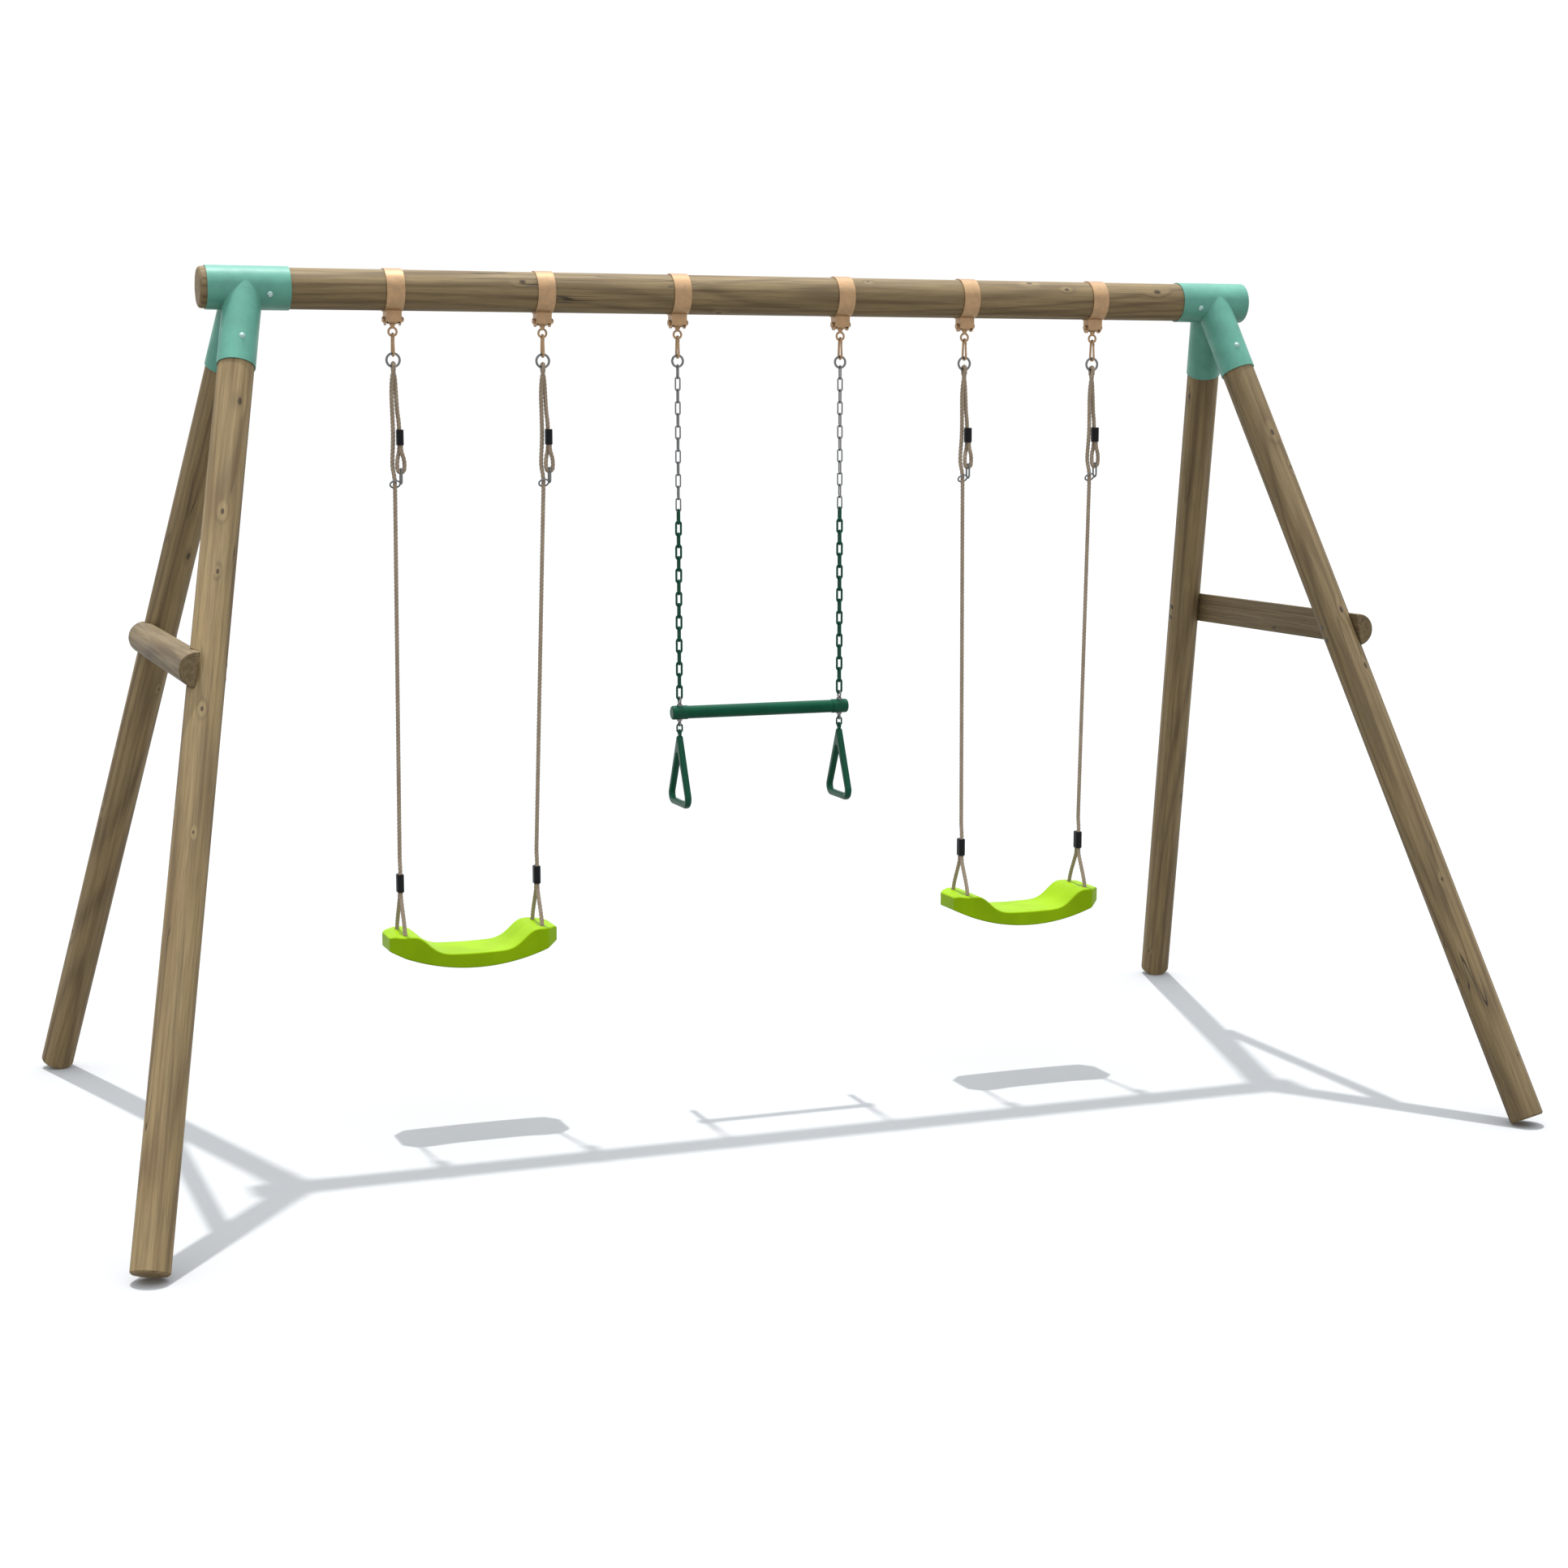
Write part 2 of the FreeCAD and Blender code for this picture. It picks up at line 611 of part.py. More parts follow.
def ferrule(x, low, high, end_radius):
    """A crimped oval sleeve with two bores for strands side by side in Y."""
    height = high - low
    posts = [Part.makeCylinder(end_radius, height, V(x, y, low)) for y in (-STRAND, STRAND)]
    block = Part.makeBox(2 * end_radius, 2 * STRAND, height, V(x - end_radius, -STRAND, low))
    body = posts[0].fuse([posts[1], block]).removeSplitter()
    ends = [edge for edge in body.Edges if abs(edge.BoundBox.ZMax - edge.BoundBox.ZMin) < 0.01]
    body = body.makeChamfer(FERRULE_EDGE, ends)
    for y in (-STRAND, STRAND):
        body = body.cut(Part.makeCylinder(FERRULE_BORE, height + 2, V(x, y, low - 1)))
    return body


def adjuster(x):
    """A bow for the rope's end loop and a tilted ring that grips the main rope, welded together."""
    half = (ADJUSTER_TOP - ADJUSTER_LOW) / 2
    middle = V(x + ADJUSTER_U, 0, ADJUSTER_LOW + half)
    bow = stadium_ring(middle, ADJUSTER_WIRE, ADJUSTER_BOW_R, half - ADJUSTER_BOW_R, Y_AXIS)
    tilt = math.radians(GRIP_TILT)
    through = V(0, -math.cos(tilt), -math.sin(tilt))
    grip = Part.makeTorus(GRIP_R, GRIP_WIRE, V(x + GRIP_CENTRE[0], 0, GRIP_CENTRE[1]), through)
    return bow.fuse(grip)


def is_upright(edge):
    box = edge.BoundBox
    return box.XLength < 0.01 and box.YLength < 0.01


def seat_section(x, keel, deck, half, end_top, y, depth):
    """A side outline of the seat, swept across its depth."""
    keel_rise = SEAT_KEEL_R - math.sqrt(SEAT_KEEL_R**2 - half**2)
    right = [V(x + a, y, b) for a, b in deck]
    left = [V(x - a, y, b) for a, b in deck]
    top = Part.BSplineCurve()
    top.interpolate(left[:0:-1] + right)
    edges = [
        Part.Arc(V(x - half, y, keel + keel_rise), V(x, y, keel), V(x + half, y, keel + keel_rise)).toShape(),
        Part.LineSegment(V(x + half, y, keel + keel_rise), V(x + half, y, end_top)).toShape(),
        Part.LineSegment(V(x + half, y, end_top), right[-1]).toShape(),
        top.toShape(),
        Part.LineSegment(left[-1], V(x - half, y, end_top)).toShape(),
        Part.LineSegment(V(x - half, y, end_top), V(x - half, y, keel + keel_rise)).toShape(),
    ]
    return Part.Face(Part.Wire(Part.__sortEdges__(edges))).extrude(V(0, depth, 0))


def seat_plan(x, inset):
    """The seat's outline from above: a rectangle with cut corners, swept up through it."""
    half = SEAT_HALF - inset
    deep = SEAT_HALF_DEPTH - inset
    corner_x = SEAT_CORNER_X - inset * 0.5
    corner_y = SEAT_CORNER_Y - inset * 0.5
    quarter = [(half, corner_y), (corner_x, deep), (-corner_x, deep), (-half, corner_y)]
    outline = quarter + [(-a, -b) for a, b in quarter]
    return polygon_prism([V(x + a, b, 0) for a, b in outline], V(0, 0, BEAM_Z))


def seat(x):
    """A moulded seat: curved keel, raised end blocks, open ribbed underside and four rope holes."""
    depth = 2 * SEAT_HALF_DEPTH
    solid = seat_section(x, SEAT_LOW, SEAT_DECK, SEAT_HALF, SEAT_END_TOP, -SEAT_HALF_DEPTH, depth)
    solid = solid.common(seat_plan(x, 0.0))
    upright = [edge for edge in solid.Edges if is_upright(edge)]
    solid = solid.makeFillet(SEAT_CORNER_ROUND, upright)
    rims = [edge for edge in solid.Edges if edge.BoundBox.ZMin > SEAT_DECK[0][1] - 6 and not is_upright(edge)]
    solid = solid.makeFillet(SEAT_EDGE, rims)
    inner_deck = [(a, b - SEAT_WALL) for a, b in SEAT_DECK]
    inner_half = SEAT_HALF - SEAT_WALL
    pocket = seat_section(
        x, SEAT_LOW - 30, inner_deck, inner_half, SEAT_END_TOP - SEAT_WALL, -SEAT_HALF_DEPTH, depth
    )
    pocket = pocket.common(seat_plan(x, SEAT_WALL))
    inner_top = SEAT_DECK[-1][1] - SEAT_WALL / 2
    kept = []
    for rib_x in RIB_X:
        corner = V(x + rib_x - SEAT_WALL / 2, -SEAT_HALF_DEPTH, SEAT_LOW)
        kept.append(Part.makeBox(SEAT_WALL, depth, BEAM_R * 2, corner))
    for side in (-1, 1):
        centre = x + side * SEAT_HALF_SPACING
        corner = V(centre - SADDLE_WALL / 2, -SADDLE_HALF, SADDLE_LOW)
        kept.append(Part.makeBox(SADDLE_WALL, 2 * SADDLE_HALF, inner_top - SADDLE_LOW, corner))
        for y in (-SEAT_HOLE_Y, SEAT_HOLE_Y):
            boss_low = V(centre, y, SEAT_BOSS_LOW)
            kept.append(Part.makeCylinder(SEAT_BOSS_R, inner_top - SEAT_BOSS_LOW, boss_low))
    clear_low = seat_section(
        x, SEAT_LOW + RIB_RISE, SEAT_DECK, SEAT_HALF, SEAT_END_TOP, -SEAT_HALF_DEPTH, depth
    )
    inside = Part.makeCompound(kept).common(clear_low)
    solid = solid.cut(pocket.cut(inside))
    for side in (-1, 1):
        for y in (-SEAT_HOLE_Y, SEAT_HOLE_Y):
            centre = x + side * SEAT_HALF_SPACING
            solid = solid.cut(Part.makeCylinder(SEAT_HOLE_R, depth, V(centre, y, SEAT_LOW)))
    return solid


# ---------------------------------------------------------------- trapeze


def chain(x, first_top, wire, half_width, inner, count, start_index):
    """Links that hang from each other, each turned a quarter from the last. Returns links and lower wire."""
    links = []
    step = inner - RUN_GAP
    half_straight = (inner + 2 * wire) / 2 - half_width
    for k in range(count):
        top = first_top - k * step
        middle = V(x, 0, top - inner / 2 - wire)
        across = Y_AXIS if (start_index + k) % 2 == 0 else X_AXIS
        links.append(stadium_ring(middle, wire, half_width, half_straight, across))
    return links, first_top - (count - 1) * step - inner - 2 * wire


def trapeze_bar():
    start = V(-BAR_HALF, 0, BAR_Z)
    end = V(BAR_HALF, 0, BAR_Z)
    tube = rod(BAR_R, start, end).cut(rod(BAR_R - BAR_WALL, start, end))
    for x in HANGER_X[2:4]:
        tube = tube.cut(Part.makeCylinder(EYEBOLT_SHANK + RUN_GAP, 2 * CAP_R, V(x, 0, BAR_Z - CAP_R)))
    return tube


def end_cap(side):
    """A moulded cap pushed over the end of the bar."""
    tip = V(side * (BAR_HALF + CAP_END), 0, BAR_Z)
    mouth = V(side * (BAR_HALF + CAP_END - CAP_LENGTH), 0, BAR_Z)
    cap = rod(CAP_R, mouth, tip)
    rounds = [edge for edge in cap.Edges if isinstance(edge.Curve, Part.Circle)]
    rims = [edge for edge in rounds if abs(edge.Curve.Center.x - tip.x) < 1]
    cap = cap.makeFillet(CAP_ROUND, rims)
    cap = cap.cut(rod(BAR_R + RUN_GAP, mouth - X_AXIS * side, V(side * BAR_HALF, 0, BAR_Z)))
    x = HANGER_X[2] if side < 0 else HANGER_X[3]
    return cap.cut(Part.makeCylinder(EYEBOLT_COLLAR_R + RUN_GAP, 4 * CAP_R, V(x, 0, BAR_Z - 2 * CAP_R)))


def eye_bolt(x):
    """An eye over the bar on a shank through it, and an eye nut under the bar."""
    eye = Part.makeTorus(EYEBOLT_R, EYEBOLT_WIRE, V(x, 0, EYEBOLT_Z), X_AXIS)
    collar_low = BAR_Z + BAR_R
    collar = Part.makeCylinder(EYEBOLT_COLLAR_R, EYEBOLT_Z - EYEBOLT_R - collar_low, V(x, 0, collar_low))
    shank_low = BAR_Z - BAR_R - EYENUT_GRIP
    shank = Part.makeCylinder(EYEBOLT_SHANK, collar_low - shank_low + 1, V(x, 0, shank_low))
    bolt = eye.fuse([collar, shank]).removeSplitter()
    nut = Part.makeCylinder(EYEBOLT_COLLAR_R, EYEBOLT_COLLAR_H, V(x, 0, EYENUT_Z + EYENUT_R))
    ring = Part.makeTorus(EYENUT_R, EYEBOLT_WIRE, V(x, 0, EYENUT_Z), X_AXIS)
    nut = nut.fuse(ring).cut(shank).removeSplitter()
    return [bolt, nut]


def handle_link(x):
    half_straight = (LINK_INNER + 2 * LINK_WIRE) / 2 - LINK_HALF_WIDTH
    middle = V(x, 0, LINK_TOP - LINK_INNER / 2 - LINK_WIRE)
    return stadium_ring(middle, LINK_WIRE, LINK_HALF_WIDTH, half_straight, X_AXIS)


def flat_edges(body):
    """The edges that lie in one plane across X."""
    return [edge for edge in body.Edges if edge.BoundBox.XLength < 0.01]


def handle(x):
    """A moulded triangular hand grip in the YZ plane, with a rounded eye at its top."""
    corner_z = HANDLE_LOW + HAND_CORNER_R
    neck_z = GRIP_EYE_Z - GRIP_EYE_R - NECK_R
    apex_z = GRIP_EYE_Z - HAND_APEX_DROP
    hole_r = HAND_CORNER_R - HAND_SECTION
    outer = [
        (HAND_CORNER_Y, corner_z, HAND_CORNER_R),
        (0, neck_z, NECK_R),
        (-HAND_CORNER_Y, corner_z, HAND_CORNER_R),
    ]
    hole = [(HAND_CORNER_Y, corner_z, hole_r), (0, apex_z, HAND_APEX_R), (-HAND_CORNER_Y, corner_z, hole_r)]
    body = belt_face(outer, x - HAND_HALF).extrude(V(2 * HAND_HALF, 0, 0))
    body = body.makeFillet(HAND_EDGE, flat_edges(body))
    body = body.cut(belt_face(hole, x - HAND_HALF - 1).extrude(V(2 * HAND_HALF + 2, 0, 0)))
    reach = HAND_CORNER_Y + hole_r + 1
    faces = [edge for edge in flat_edges(body) if abs(abs(edge.BoundBox.XMin - x) - HAND_HALF) < 0.01]
    rims = [edge for edge in faces if edge.BoundBox.ZMin > HANDLE_LOW + HAND_SECTION - 1]
    rims = [edge for edge in rims if max(abs(edge.BoundBox.YMin), edge.BoundBox.YMax) < reach]
    rims = [edge for edge in rims if edge.BoundBox.ZMax < apex_z + HAND_APEX_R + 1]
    body = body.makeFillet(HAND_EDGE, rims)
    eye = Part.makeTorus(GRIP_EYE_R, GRIP_EYE_WIRE, V(x, 0, GRIP_EYE_Z), X_AXIS)
    return body.fuse(eye)


# ---------------------------------------------------------------- build

os.makedirs("parts", exist_ok=True)

dome_group = dome_screws()
brace_group = brace_screws()
timber_screws = Part.makeCompound(dome_group + brace_group)
dome_tools = Part.makeCompound(dome_group)

export("top_beam", beam().cut(dome_tools))
for side_name, sx in SIDES:
    for row_name, sy in (("front", -1), ("rear", 1)):
        export(row_name + "_leg_" + side_name, leg(sx, sy).cut(brace_housing(sx)).cut(timber_screws))
    export("corner_bracket_" + side_name, corner_bracket(sx).cut(dome_tools))
    export("cross_brace_" + side_name, brace(sx).cut(Part.makeCompound(brace_group)))
export("dome_screws", dome_group)
export("brace_screws", brace_group)

bolts = []
for number, x in enumerate(HANGER_X, 1):
    export("hanger_strap_%d" % number, strap(x).cut(dome_tools))
    export("snap_hook_%d" % number, snap_hook(x))
    export("snap_gate_%d" % number, snap_gate(x))
    bolts += hanger_bolt(x)
export("hanger_bolts", bolts)

GROUPS = (
    ("left_swing", HANGER_X[0:2], SWING_RING_R),
    ("trapeze", HANGER_X[2:4], TRAPEZE_RING_R),
    ("right_swing", HANGER_X[4:6], SWING_RING_R),
)
for group_name, places, ring_r in GROUPS:
    export("hanger_bushes_" + group_name, [bush(x) for x in places])
    export("hanger_eyes_" + group_name, [hanger_eye(x) for x in places])
    export("hanging_rings_" + group_name, [hanging_ring(x, ring_r) for x in places])

for group_name, places, ring_r in (GROUPS[0], GROUPS[2]):
    ferrules = []
    seat_x = sum(places) / 2 + SEAT_SHIFT[group_name]
    for (rope_name, side), x in zip(SIDES, places):
        seat_hole_x = seat_x + side * SEAT_HALF_SPACING
        export("rope_" + group_name + "_" + rope_name, rope(x, seat_hole_x))
        upper_u, upper_low, upper_high, upper_r = UPPER_FERRULE
        ferrules.append(ferrule(x + upper_u, upper_low, upper_high, upper_r))
        ferrules.append(ferrule(seat_hole_x, *LOWER_FERRULE))
    export("rope_ferrules_" + group_name, ferrules)
    export("rope_adjusters_" + group_name, [adjuster(x) for x in places])
    export("seat_" + group_name, seat(seat_x))

chain_start = RING_TOP - 2 * TRAPEZE_RING_R + RING_WIRE + ZINC_WIRE + RUN_GAP
for (side_name, side), x in zip(SIDES, HANGER_X[2:4]):
    zinc, zinc_low = chain(x, chain_start, ZINC_WIRE, ZINC_HALF_WIDTH, ZINC_INNER, ZINC_LINKS, 0)
    coat_start = zinc_low + ZINC_WIRE + COAT_WIRE + RUN_GAP
    coated, coat_low = chain(x, coat_start, COAT_WIRE, COAT_HALF_WIDTH, COAT_INNER, COAT_LINKS, ZINC_LINKS)
    export("zinc_chain_" + side_name, zinc)
    export("coated_chain_" + side_name, coated)

EYEBOLT_TOP = coat_low + COAT_WIRE + EYEBOLT_WIRE + RUN_GAP
EYEBOLT_Z = EYEBOLT_TOP - EYEBOLT_R
BAR_Z = coat_low - BAR_DROP
EYENUT_Z = BAR_Z - BAR_R - EYEBOLT_COLLAR_H - EYENUT_R
LINK_TOP = EYENUT_Z - EYENUT_R + EYEBOLT_WIRE + LINK_WIRE + RUN_GAP
LINK_LOW = LINK_TOP - LINK_INNER - 2 * LINK_WIRE
GRIP_EYE_Z = LINK_LOW + LINK_WIRE + GRIP_EYE_WIRE + RUN_GAP - GRIP_EYE_R
HANDLE_LOW = GRIP_EYE_Z - HAND_LENGTH

export("trapeze_bar", trapeze_bar())
export("trapeze_end_caps", [end_cap(side) for name, side in SIDES])
eye_bolts = []
for x in HANGER_X[2:4]:
    eye_bolts += eye_bolt(x)
export("trapeze_eye_bolts", eye_bolts)
for (side_name, side), x in zip(SIDES, HANGER_X[2:4]):
    export("handle_link_" + side_name, handle_link(x))
    export("handle_" + side_name, handle(x))
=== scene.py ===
import json
import math

import bpy
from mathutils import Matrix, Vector


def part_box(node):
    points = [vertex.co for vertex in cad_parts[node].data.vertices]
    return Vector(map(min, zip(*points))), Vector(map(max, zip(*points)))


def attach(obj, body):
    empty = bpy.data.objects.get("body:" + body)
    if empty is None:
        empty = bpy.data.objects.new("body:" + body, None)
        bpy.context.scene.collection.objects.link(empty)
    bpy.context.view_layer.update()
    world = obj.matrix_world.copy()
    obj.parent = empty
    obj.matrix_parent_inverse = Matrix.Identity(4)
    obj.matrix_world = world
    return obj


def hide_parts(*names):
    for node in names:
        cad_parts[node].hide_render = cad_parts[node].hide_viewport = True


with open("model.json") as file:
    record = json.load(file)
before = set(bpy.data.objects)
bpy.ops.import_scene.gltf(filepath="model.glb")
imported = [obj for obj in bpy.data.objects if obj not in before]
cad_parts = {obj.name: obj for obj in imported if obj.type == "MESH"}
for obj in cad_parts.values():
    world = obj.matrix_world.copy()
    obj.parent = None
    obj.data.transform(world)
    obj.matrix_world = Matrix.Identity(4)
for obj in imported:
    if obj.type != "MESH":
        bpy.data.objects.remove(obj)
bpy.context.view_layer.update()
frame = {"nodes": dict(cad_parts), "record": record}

NODES = frame["nodes"]
RECORD = frame["record"]
MM = 0.001

# ---------------------------------------------------------------- camera

LENS_MM = 60.344
SENSOR_MM = 36.0
VIEW_DEPTH = 300.0
EYE = (-2.3952, -6.4865, 1.8395)
TILT = 81.839  # degrees: 90 is level
TURN = -20.789  # degrees: 0 looks along +Y

cam_data = bpy.data.cameras.new("camera")
cam_data.lens = LENS_MM
cam_data.sensor_width = SENSOR_MM
cam_data.clip_end = VIEW_DEPTH
camera = bpy.data.objects.new("camera", cam_data)
camera.location = EYE
camera.rotation_euler = (math.radians(TILT), 0.0, math.radians(TURN))
bpy.context.scene.collection.objects.link(camera)
bpy.context.scene.camera = camera

# ---------------------------------------------------------------- ropes

# x in millimetres, for a swing's left and right rope: where it hangs, and its holes in the seat
HANGER_X = {"left_swing": (-965.0, -583.0), "right_swing": (583.0, 965.0)}
SEAT_HOLE_X = {"left_swing": (-975.0, -617.0), "right_swing": (587.0, 945.0)}
ROPE_D = 0.011
STRAND = 5.6  # how far each of two runs side by side is from their middle, in millimetres
# x from the hanger, y and z, in millimetres: from the tail in the upper ferrule to the long run
ROPE_TOP = (
    (13.0, -STRAND, 1782.0),
    (13.0, -STRAND, 1734.0),
    (20.0, -4.8, 1716.0),
    (23.3, -0.8, 1701.0),
    (22.7, 0.0, 1684.0),
    (17.6, 0.0, 1678.9),
    (10.4, 0.0, 1678.9),
    (5.3, 0.0, 1684.0),
    (4.9, 0.9, 1701.0),
    (7.4, 4.6, 1716.0),
    (13.0, STRAND, 1734.0),
    (13.0, STRAND, 1800.0),
    (8.4, 4.0, 1826.0),
    (5.7, 2.0, 1872.0),
    (5.2, 6.5, 1910.0),
    (1.6, 9.6, 1928.0),
    (0.0, 9.3, 1941.4),
    (0.0, 3.9, 1946.9),
    (0.0, -3.9, 1946.9),
    (0.0, -9.3, 1941.4),
    (-1.6, -9.6, 1928.0),
    (-5.2, -6.5, 1910.0),
    (-6.6, -2.0, 1872.0),
    (-4.4, 1.0, 1822.0),
    (-2.8, 4.0, 1765.0),
    (-5.2, 8.4, 1712.0),
    (-5.6, 7.2, 1690.0),
    (-1.5, 0.0, 1662.0),
)
# y and z, in millimetres: through the lower ferrule, the seat and back up into the same ferrule
ROPE_FOOT = (
    (-1.0, 704.0),
    (-STRAND, 684.0),
    (-STRAND, 612.0),
    (-10.5, 597.0),
    (-48.0, 528.0),
    (-48.0, 492.0),
    (-38.0, 474.0),
    (38.0, 474.0),
    (48.0, 492.0),
    (48.0, 528.0),
    (10.5, 597.0),
    (STRAND, 612.0),
    (STRAND, 664.0),
)
RUN_START = 66.0  # the long run's own two points, in millimetres from its upper and its lower end
RUN_END = 21.0
LINE_STEP = 0.0016
LAY_LENGTH = 0.029
STRANDS = 3
LOBE_DEPTH = 0.20  # how far the groove between two strands goes into the radius
LOBE_POWER = 0.8
RING_POINTS = 24


def rope_route(hanger_x, seat_hole_x):
    """The rope's control points, in metres, with one near each end of its long straight run."""
    top = [(hanger_x + u, y, z) for u, y, z in ROPE_TOP]
    foot = [(seat_hole_x, y, z) for y, z in ROPE_FOOT]
    first, last = Vector(top[-1]), Vector(foot[0])
    run = (last - first).normalized()
    extra = [first + run * RUN_START, last - run * RUN_END]
    return [Vector(p) * MM for p in [*top, *extra, *foot]]


def smooth_line(name, points):
    """The points of a NURBS line through a route, as Blender's own curve gives them."""
    data = bpy.data.curves.new(name + "_route", "CURVE")
    data.dimensions = "3D"
    data.resolution_u = 16
    spline = data.splines.new("NURBS")
    spline.points.add(len(points) - 1)
    for point, place in zip(spline.points, points):
        point.co = (*place, 1.0)
    spline.order_u = 3
    spline.use_endpoint_u = True
    guide = bpy.data.objects.new(name + "_route", data)
    mesh = bpy.data.meshes.new_from_object(guide)
    line = [v.co.copy() for v in mesh.vertices]
    bpy.data.objects.remove(guide)
    bpy.data.meshes.remove(mesh)
    bpy.data.curves.remove(data)
    return line


def even_line(line, step):
    """The same line with points a step apart."""
    lengths = [0.0]
    for a, b in zip(line, line[1:]):
        lengths.append(lengths[-1] + (b - a).length)
    count = max(2, round(lengths[-1] / step))
    out = []
    k = 0
    for i in range(count + 1):
        s = lengths[-1] * i / count
        while k < len(line) - 2 and lengths[k + 1] < s:
            k += 1
        span = lengths[k + 1] - lengths[k]
        out.append(line[k].lerp(line[k + 1], (s - lengths[k]) / span if span else 0.0))
    return out


def laid_rope(name, line, length):
    """A mesh of three strands laid round each other along a line."""
    verts, faces, uvs = [], [], []
    normal = Vector((1.0, 0.0, 0.0))
    for i, place in enumerate(line):
        ahead = line[min(i + 1, len(line) - 1)] - line[max(i - 1, 0)]
        ahead.normalize()
        normal = (normal - ahead * normal.dot(ahead)).normalized()
        binormal = ahead.cross(normal)
        s = length * i / (len(line) - 1)
        twist = 2 * math.pi * s / LAY_LENGTH
        for k in range(RING_POINTS):
            angle = 2 * math.pi * k / RING_POINTS
            lobe = abs(math.cos(STRANDS / 2 * (angle - twist))) ** LOBE_POWER
            radius = ROPE_D / 2 * (1 - LOBE_DEPTH + LOBE_DEPTH * lobe)
            verts.append(place + (normal * math.cos(angle) + binormal * math.sin(angle)) * radius)
    for i in range(len(line) - 1):
        for k in range(RING_POINTS):
            a = i * RING_POINTS + k
            b = i * RING_POINTS + (k + 1) % RING_POINTS
            faces.append((a, b, b + RING_POINTS, a + RING_POINTS))
            s0 = length * i / (len(line) - 1)
            s1 = length * (i + 1) / (len(line) - 1)
            uvs += [(s0, k), (s0, k + 1), (s1, k + 1), (s1, k)]
    last = (len(line) - 1) * RING_POINTS
    faces.append(tuple(reversed(range(RING_POINTS))))
    faces.append(tuple(range(last, last + RING_POINTS)))
    uvs += [(0.0, 0.0)] * RING_POINTS + [(length, 0.0)] * RING_POINTS
    mesh = bpy.data.meshes.new(name)
    mesh.from_pydata(verts, [], faces)
    layer = mesh.uv_layers.new(name="lay")
    for slot, (u, v) in zip(layer.data, uvs):
        slot.uv = (u / LAY_LENGTH, v / RING_POINTS)
    for polygon in mesh.polygons:
        polygon.use_smooth = True
    piece = bpy.data.objects.new(name, mesh)
    bpy.context.scene.collection.objects.link(piece)
    return piece


rope_pieces = []
for swing, places in HANGER_X.items():
    for end, hanger_x, seat_hole_x in zip(("left", "right"), places, SEAT_HOLE_X[swing]):
        node = "rope_" + swing + "_" + end
        route = rope_route(hanger_x, seat_hole_x)
        line = even_line(smooth_line(node, route), LINE_STEP)
        length = sum((b - a).length for a, b in zip(line, line[1:]))
        piece = laid_rope(node + "_laid", line, length)
        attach(piece, swing)
        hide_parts(node)
        rope_pieces.append(piece)

# ---------------------------------------------------------------- material kit


